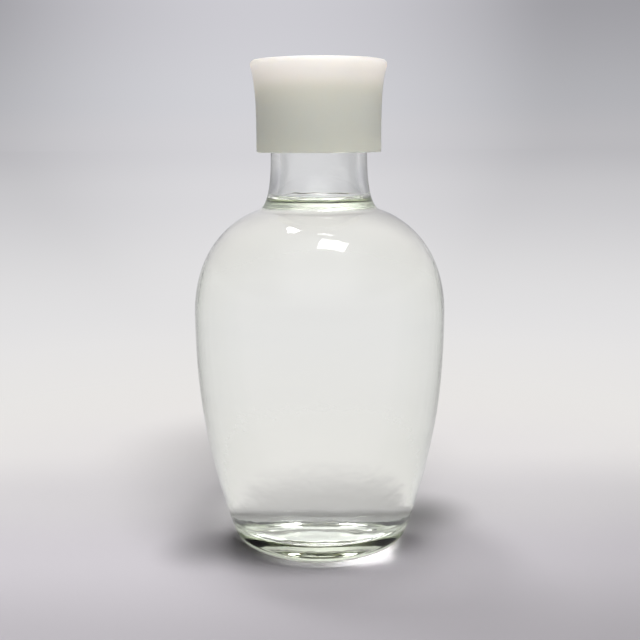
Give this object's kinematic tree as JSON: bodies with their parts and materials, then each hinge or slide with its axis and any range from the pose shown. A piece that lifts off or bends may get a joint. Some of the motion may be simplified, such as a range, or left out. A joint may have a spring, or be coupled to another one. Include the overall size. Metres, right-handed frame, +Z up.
{
  "type": "round glass bottle",
  "caption": "Clear round glass bottle with broad shoulders, a thick tapered base and a short neck, closed by a flared two-part plastic screw cap.",
  "frame": {"origin": "middle of the foot, at the height of the flat ring that the bottle stands on", "axes": "+Z up along the bottle's axis, through the middle of the mouth; the shape is turned about it, so +X and +Y are free, and -Y faces the picture's camera"},
  "size_m": [0.1, 0.1, 0.1924],
  "materials": {
    "clear_glass": "clear moulded soda-lime glass, faintly green where thick",
    "foam_liner": "white foamed polyethylene disc",
    "inner_cap_plastic": "white moulded polypropylene, satin",
    "outer_cap_plastic": "milky translucent moulded polypropylene, smooth, semi-gloss"
  },
  "bodies": {
    "bottle": {"glass_bottle": "clear_glass"},
    "liner": {"liner": "foam_liner"},
    "cap": {"inner_cap": "inner_cap_plastic", "outer_cap": "outer_cap_plastic"}
  },
  "joints": [
    {"name": "cap_rise", "type": "slide", "parent": "bottle", "child": "liner", "axis": [0, 0, 1], "range_m": [0, 0.0253]},
    {"name": "cap_turn", "type": "hinge", "parent": "liner", "child": "cap", "pos_m": [0, 0, 0.1764], "axis": [0, 0, 1], "range_deg": [0, 2160]}
  ],
  "couplings": [
    {"joint": "cap_rise", "follows": "cap_turn", "m_per_rad": 0.00066845}
  ]
}
